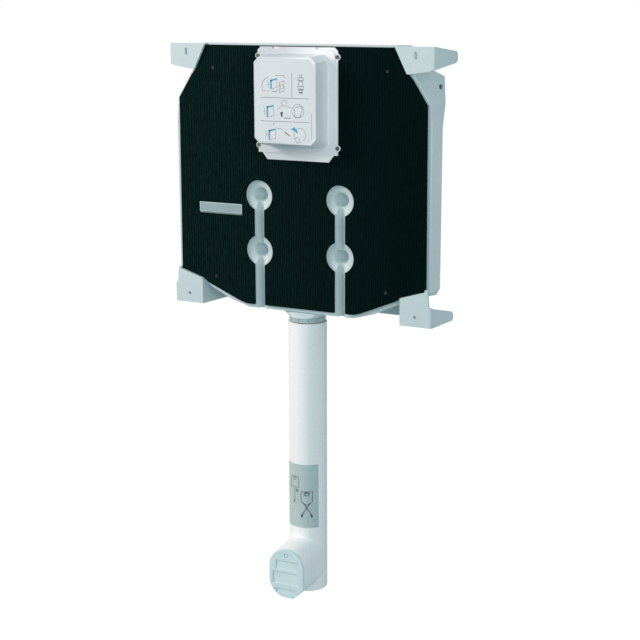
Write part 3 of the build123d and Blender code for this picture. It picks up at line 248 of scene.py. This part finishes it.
def braid():
    """Two sets of slanting waves, crossed."""
    recipe = Recipe("braided_steel", colour=(0.55, 0.56, 0.58), roughness=0.35, Metallic=1.0)
    sets = [recipe.waves("DIAGONAL", recipe.stretched((1, turn, turn)), Scale=260) for turn in (1, -1)]
    weave = recipe.math("MULTIPLY", *sets)
    recipe.blend((0.2, 0.21, 0.22), weave, start=0.5, full=0.1)
    recipe.bump(weave, strength=0.5, distance=0.0004)
    return recipe.material


def ink(name, colour):
    recipe = Recipe(name, colour, roughness=0.45)
    lighter = tuple(min(1, part * 1.3 + 0.02) for part in colour)
    recipe.blend(lighter, recipe.noise(scale=900, detail=2), start=0.5, full=0.8, amount=0.3)
    return recipe.material


finish = {
    "tank_plastic": tank_plastic(),
    "foam": panel_foam(),
    "cover_plastic": cover_plastic(),
    "label": label_film(),
    "white_plastic": plain_plastic("white_plastic", (0.78, 0.80, 0.80), 0.35),
    "polystyrene": polystyrene(),
    "sticker": sticker_film(),
    "cap_plastic": cap_plastic(),
    "grey_plastic": plain_plastic("grey_plastic", (0.13, 0.235, 0.245), 0.5),
    "blue_plastic": plain_plastic("blue_plastic", (0.04, 0.17, 0.42), 0.36),
    "seal_rubber": plain_plastic("seal_rubber", (0.02, 0.022, 0.024), 0.75, grain=500),
    "brass": metal("brass", (0.72, 0.55, 0.27), 0.3),
    "steel": metal("zinc_steel", (0.12, 0.13, 0.135), 0.5),
    "braided_hose": braid(),
}
own_finish = {
    "panel_pins": plain_plastic("pin_plastic", (0.006, 0.014, 0.014), 0.55, Specular_IOR_Level=0.2),
    "outlet_nut": plain_plastic("nut_plastic", (0.33, 0.45, 0.47), 0.45),
}
for entry in frame["record"]["subparts"]:
    surface = nodes[entry["node"]].data
    surface.materials.clear()
    surface.materials.append(own_finish.get(entry["node"], finish[entry["material_slot"]]))


# Thin raised shapes. A place function turns u, v and a lift, all in mm, into a point in metres.
def mesh_object(name, faces, material, body):
    """One mesh from a list of faces, each a list of points in metres."""
    mesh = bpy.data.meshes.new(name)
    work = bmesh.new()
    for face in faces:
        work.faces.new([work.verts.new(point) for point in face])
    bmesh.ops.remove_doubles(work, verts=work.verts, dist=1e-7)
    bmesh.ops.recalc_face_normals(work, faces=work.faces)
    work.to_mesh(mesh)
    work.free()
    made = bpy.data.objects.new(name, mesh)
    bpy.context.scene.collection.objects.link(made)
    mesh.materials.append(material)
    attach(made, body)


ink_height = 0.06
low_ink_height = 0.05
rib_height = 0.35
line_widening = 1.25


def slab(outline, place, height=ink_height):
    """A thin slab over an outline of points (u, v)."""
    low = [place(u, v, 0.0) for u, v in outline]
    high = [place(u, v, height) for u, v in outline]
    count = len(outline)
    sides = [[low[i], low[(i + 1) % count], high[(i + 1) % count], high[i]] for i in range(count)]
    return [high, low[::-1], *sides]


def stroke(a, b, width):
    """The four corners of a straight pen stroke."""
    du, dv = b[0] - a[0], b[1] - a[1]
    share = width * line_widening / 2 / math.hypot(du, dv)
    nu, nv = -dv * share, du * share
    return [(a[0] + nu, a[1] + nv), (b[0] + nu, b[1] + nv), (b[0] - nu, b[1] - nv), (a[0] - nu, a[1] - nv)]


def pen_lines(lines, place):
    """Raised lines, each given as a pen width and its points."""
    faces = []
    for width, points in lines:
        for a, b in zip(points, points[1:]):
            faces += slab(stroke(a, b, width), place)
    return faces


def closed(points):
    return points + points[:1]


def box(left, low, right, high):
    return [(left, low), (right, low), (right, high), (left, high)]


def ring(u, v, radius, start=0, end=360, steps=28, squash=1.0):
    """The points of a circle or an arc, in degrees, squashed in height."""
    turns = [math.radians(start + (end - start) * i / steps) for i in range(steps + 1)]
    return [(u + radius * math.cos(t), v + radius * squash * math.sin(t)) for t in turns]


# Pen widths in mm
hair = 0.35
thin = 0.4
fine = 0.45
plain = 0.5
dashed = 0.55
firm = 0.6
bold = 0.7
wide = 0.9
broad = 1.0
heavy = 1.1
blunt = 2.2

# The label: three rows of line pictures. u runs to the right, v upwards from the frame's zero level.
label_shift_u = 1.5
first_row_above = 128
first_row_shift = 1.7
lower_rows_from = 126
lower_rows_place = 125.3
lower_rows_stretch = 1.03


def on_label(u, v, lift):
    """The first row sits a little higher than drawn, and the two lower rows a little wider apart."""
    if v > first_row_above:
        height = v + first_row_shift
    else:
        height = lower_rows_place + (v - lower_rows_from) * lower_rows_stretch
    return ((u + label_shift_u) * MM, label_front - lift * MM, height * MM)


rule_left, rule_right = -40.9, 38.9
row_rules = [
    (plain, [(rule_left, 126), (rule_right, 126)]),
    (plain, [(rule_left, 93.1), (rule_right, 93.1)]),
    (plain, [(11.4, 160), (11.4, 126.3)]),
]
lifted_frame = [
    (plain, [(-38, 141), (-37, 146), (-33, 150), (-28, 152.5)]),
    (thin, [(-38, 141), (-38, 133), (-26, 133)]),
    (plain, [(-16, 155.5), (-4, 156), (0, 153)]),
    (fine, [(-9, 146), (-1.5, 148), (-1.5, 134), (-9, 131), (-9, 146)]),
    (thin, ring(-5.2, 140, radius=2.6, squash=1.3)),
    (firm, [(-22, 131.5), (-12, 134)]),
]
valve_middle = 25.8
valve_levels = (130.5, 135.5, 141, 149.5, 153, 157)
valve_half_widths = (2.6, 4.4, 3.2, 4.6, 1.6)
valve_outline = [
    (plain, closed(box(valve_middle - half, low, valve_middle + half, high)))
    for low, high, half in zip(valve_levels, valve_levels[1:], valve_half_widths)
]
valve_seals = [
    (wide, [(22.8, 136.8), (28.8, 136.8)]),
    (heavy, [(23.2, 132.2), (28.4, 132.2)]),
    (bold, [(23.6, 147.6), (28, 147.6)]),
]
round_mark = [
    (thin, ring(-1.7, 119.2, radius=4.3)),
    (thin, [(-12, 110), (-7.5, 113.5), (-3.8, 115.6)]),
    (thin, [(2.2, 114.8), (9.5, 112.5)]),
]
pointer = [(-8, 106.4), (-3.6, 106.4), (-4.8, 99.8), (-6.8, 99.8)]
pointer_line = [(bold, [(-1.5, 98.2), (8.5, 98.2)])]
sheet_in_circle = [
    (fine, ring(21, 108.5, radius=9.6)),
    (plain, [(15.5, 112.5), (25.5, 115.5), (28, 112), (25, 101), (16, 99), (15.5, 112.5)]),
]
turning_arc = [(thin, ring(24, 75.3, radius=9.6, start=-60, end=200))]
cyan_sheet = [(8.8, 83.4), (15.5, 85.8), (20.5, 80), (20.8, 76.5), (17.6, 79)]
tool = [(broad, [(-1, 78.2), (7.6, 73.2)])]
loose_sheet = [
    (thin, [(-14.5, 82.5), (-8, 83.5), (-2, 80.2)]),
    (fine, [(14.5, 69.5), (20, 72), (25, 66.5), (20.5, 63.5), (14.5, 69.5)]),
    (bold, [(-20, 88), (-17.5, 91.5)]),
]
dash_u, dash_top, dash_length, dash_pitch, dash_count = 43.3, 104.6, 1.9, 2.85, 12
dash_tops = [dash_top - dash_pitch * k for k in range(dash_count)]
side_dashes = [(dashed, [(dash_u, top), (dash_u, top - dash_length)]) for top in dash_tops]

# Plates seen at a slant: the top left corner, the height, the width and the rise of the far edge
plates = ((-23, 149, 13, 10, 3), (-29.5, 113.5, 15, 10.5, 2.6), (-26.5, 80.5, 14, 10.5, 2.6))
near_edge_left, near_edge_right, near_edge_rise = 1.4, 1.2, 0.6
top_edge = 2.3
measure_gap, measure_reach, measure_short = 4.5, 6.5, 2
middle_left, middle_right = 7, 2.5


def plate_edges(u, v, tall, across, rise):
    """The two broad edges of a plate, filled."""
    left, right, far = u - near_edge_left, u + near_edge_right, u + across
    near = [(left, v), (right, v + near_edge_rise), (right, v - tall), (left, v - tall)]
    top = [(left, v), (far, v + rise), (far, v + rise - top_edge), (u, v - top_edge)]
    return slab(near, on_label) + slab(top, on_label)


def plate_lines(u, v, tall, across, rise):
    """The thin outline of a plate, and the measure beside it."""
    right, far, beside = u + near_edge_right, u + across, u - measure_gap
    half_way = v - tall / 2
    return [
        (fine, [(right, v - tall), (far, v + rise - tall), (far, v + rise - top_edge)]),
        (hair, [
            (beside, v - tall + measure_short), (beside, v - measure_short),
            (u - measure_reach, v - measure_short),
        ]),
        (hair, [(u - middle_left, half_way), (u - middle_right, half_way)]),
    ]


cyan, grey = [], []
for plate in plates:
    cyan += plate_edges(*plate)
    grey += plate_lines(*plate)
cyan += slab(cyan_sheet, on_label, low_ink_height)
grey += row_rules + lifted_frame + valve_outline + round_mark
grey += sheet_in_circle + turning_arc + loose_sheet + side_dashes
dark = pen_lines(valve_seals + pointer_line + tool, on_label) + slab(pointer, on_label)

cyan_ink = ink("ink_cyan", (0.03, 0.36, 0.50))
grey_ink = ink("ink_grey", (0.11, 0.14, 0.16))
dark_ink = ink("ink_dark", (0.02, 0.03, 0.035))
mesh_object("label_art_cyan", cyan, cyan_ink, "service_cover")
mesh_object("label_art_grey", pen_lines(grey, on_label), grey_ink, "service_cover")
mesh_object("label_art_dark", dark, dark_ink, "service_cover")

# The pipe's sticker: two line pictures. u runs round the pipe from its front towards +X, v down
# from the film's top. The film's lowest Y is its front.
film_clearance = 0.02
film_radius = (pipe_axis_y - film_low.y) / MM + film_clearance
longest_step = 1.2


def on_film(u, v, lift):
    angle = u * MM / pipe_radius
    radius = (film_radius + lift) * MM
    return (radius * math.sin(angle), pipe_axis_y - radius * math.cos(angle), film_high.z - v * MM)


def stepped(points):
    """The same line in short steps, so that it follows the round film."""
    short = []
    for a, b in zip(points, points[1:]):
        steps = max(1, math.ceil(math.hypot(b[0] - a[0], b[1] - a[1]) / longest_step))
        shares = [k / steps for k in range(steps)]
        short += [(a[0] + (b[0] - a[0]) * share, a[1] + (b[1] - a[1]) * share) for share in shares]
    return short + points[-1:]


small_tank = [
    (fine, closed([(-17, 20.5), (-1, 20.5), (-1, 38), (-17, 38)])),
    (thin, [(-8.5, 38), (-8.5, 63)]),
    (bold, [(-10.5, 55), (-7.5, 55)]),
    (broad, [(-9.3, 59), (-9.3, 63.5)]),
    (bold, closed([(-6.5, 44.5), (-3.8, 40.5), (-1.2, 44.5)])),
]
large_tank = [
    (firm, [(3, 61), (3, 44.5), (21, 43.5), (21, 60)]),
    (firm, [(3, 61), (7, 63.5), (12, 66), (17, 63), (21, 60)]),
    (bold, [(7.5, 47), (16.5, 46)]),
]
openings = [
    (firm, ring(-8.5, 24, radius=3.2, squash=0.7, steps=18)),
    (wide, ring(12, 48, radius=4.2, squash=0.65, steps=20)),
]
rod_top, rod_foot, tip_top, tip_foot = 62, 84, 81.5, 86.5
tip_slant = 0.12
crossed_rods = []
for top_u, foot_u in ((17.5, 3.5), (6.5, 20.5)):
    tip_u = foot_u + (top_u - foot_u) * tip_slant
    crossed_rods.append((wide, [(top_u, rod_top), (foot_u, rod_foot)]))
    crossed_rods.append((blunt, [(tip_u, tip_top), (foot_u, tip_foot)]))
film_lines = [(width, stepped(points)) for width, points in small_tank + large_tank + crossed_rods]
mesh_object("sticker_art", pen_lines(film_lines + openings, on_film), dark_ink, "flush_bend")

# Fine level ribs on the moulded bar in the panel's window
rib_left, rib_right = -172.0, -99.0
rib_lowest, rib_pitch, rib_half, rib_count = -54.3, 1.45, 0.42, 9


def on_bar(u, v, lift):
    return (u * MM, bar_front - lift * MM, v * MM)


bar_ribs = []
for middle in [rib_lowest + rib_pitch * k for k in range(rib_count)]:
    rib = box(rib_left, middle - rib_half, rib_right, middle + rib_half)
    bar_ribs += slab(rib, on_bar, rib_height)
bar_plastic = plain_plastic("bar_plastic", (0.21, 0.30, 0.315), 0.5)
mesh_object("bar_ribs", bar_ribs, bar_plastic, "cistern")


# Stage
def background_seen(tree):
    """One for the rays that show the background, nought for those that light the object."""
    rays = tree.nodes.new("ShaderNodeLightPath").outputs
    seen = rays["Is Camera Ray"]
    for name in ("Is Glossy Ray", "Is Transmission Ray"):
        either = tree.nodes.new("ShaderNodeMath")
        either.operation = "MAXIMUM"
        tree.links.new(seen, either.inputs[0])
        tree.links.new(rays[name], either.inputs[1])
        seen = either.outputs[0]
    return seen


def shader_node(tree, kind, colour=(1, 1, 1), **numbers):
    made = tree.nodes.new(kind)
    made.inputs["Color"].default_value = (*colour, 1)
    for key, value in numbers.items():
        made.inputs[key].default_value = value
    return made.outputs[0]


def split_by_ray(tree, for_light, for_background, output_kind):
    """Joins two shaders: one that lights the object and one that shows as the background."""
    mix = tree.nodes.new("ShaderNodeMixShader")
    output = tree.nodes.new(output_kind)
    tree.links.new(background_seen(tree), mix.inputs["Fac"])
    tree.links.new(for_light, mix.inputs[1])
    tree.links.new(for_background, mix.inputs[2])
    tree.links.new(mix.outputs[0], output.inputs["Surface"])


def floor_material():
    """A white floor that keeps the object's shadow."""
    material = bpy.data.materials.new("studio_floor")
    material.use_nodes = True
    tree = material.node_tree
    tree.nodes.clear()
    for_light = shader_node(tree, "ShaderNodeBsdfDiffuse", (0.27, 0.36, 0.37))
    shadowed = shader_node(tree, "ShaderNodeBsdfDiffuse", (0.2, 0.2, 0.2))
    glow = shader_node(tree, "ShaderNodeEmission", Strength=0.93)
    add = tree.nodes.new("ShaderNodeAddShader")
    tree.links.new(shadowed, add.inputs[0])
    tree.links.new(glow, add.inputs[1])
    split_by_ray(tree, for_light, add.outputs[0], "ShaderNodeOutputMaterial")
    return material


floor_reach = 6
floor_z = -0.86
floor_outline = box(-floor_reach, -floor_reach, floor_reach, floor_reach)
floor_mesh = bpy.data.meshes.new("floor")
floor_mesh.from_pydata([(x, y, floor_z) for x, y in floor_outline], [], [(0, 1, 2, 3)])
floor = bpy.data.objects.new("floor", floor_mesh)
bpy.context.scene.collection.objects.link(floor)
floor_mesh.materials.append(floor_material())

world = bpy.data.worlds.new("studio")
bpy.context.scene.world = world
world.use_nodes = True
world.node_tree.nodes.clear()
ambient = shader_node(world.node_tree, "ShaderNodeBackground", (0.74, 0.93, 0.99), Strength=0.52)
white = shader_node(world.node_tree, "ShaderNodeBackground", Strength=1.0)
split_by_ray(world.node_tree, ambient, white, "ShaderNodeOutputWorld")


def soft_light(name, place, target, size, power, colour):
    data = bpy.data.lights.new(name, "AREA")
    data.shape = "DISK"
    data.size = size
    data.energy = power
    data.color = colour
    made = bpy.data.objects.new(name, data)
    made.location = place
    made.rotation_euler = (Vector(target) - Vector(place)).to_track_quat("-Z", "Y").to_euler()
    bpy.context.scene.collection.objects.link(made)


soft_light("key", (-2.3, -1.9, 1.3), target=(0, 0, -0.15), size=1.4, power=82, colour=(1.0, 0.83, 0.765))
soft_light("fill", (2.4, -2.2, 0.5), target=(0, 0, -0.1), size=2.0, power=31, colour=(0.91, 0.97, 1.0))

# Camera: where it stands, how far it looks to the left of straight back and downwards, and its roll
camera_place = (0.999, -1.930, 0.2735)
camera_lens = 79.7
sensor_width = 36
yaw, pitch, roll = math.radians(27.5), math.radians(13.01), math.radians(-0.15)
camera_data = bpy.data.cameras.new("camera")
camera_data.lens = camera_lens
camera_data.sensor_width = sensor_width
camera = bpy.data.objects.new("camera", camera_data)
bpy.context.scene.collection.objects.link(camera)
forward = Vector((-math.sin(yaw) * math.cos(pitch), math.cos(yaw) * math.cos(pitch), -math.sin(pitch)))
level_right = Vector((math.cos(yaw), math.sin(yaw), 0))
level_up = level_right.cross(forward)
turn = camera.matrix_world.to_3x3()
turn.col[0] = level_right * math.cos(roll) + level_up * math.sin(roll)
turn.col[1] = level_up * math.cos(roll) - level_right * math.sin(roll)
turn.col[2] = -forward
camera.matrix_world = turn.to_4x4()
camera.location = camera_place
bpy.context.scene.camera = camera
bpy.context.scene.view_settings.view_transform = "Standard"
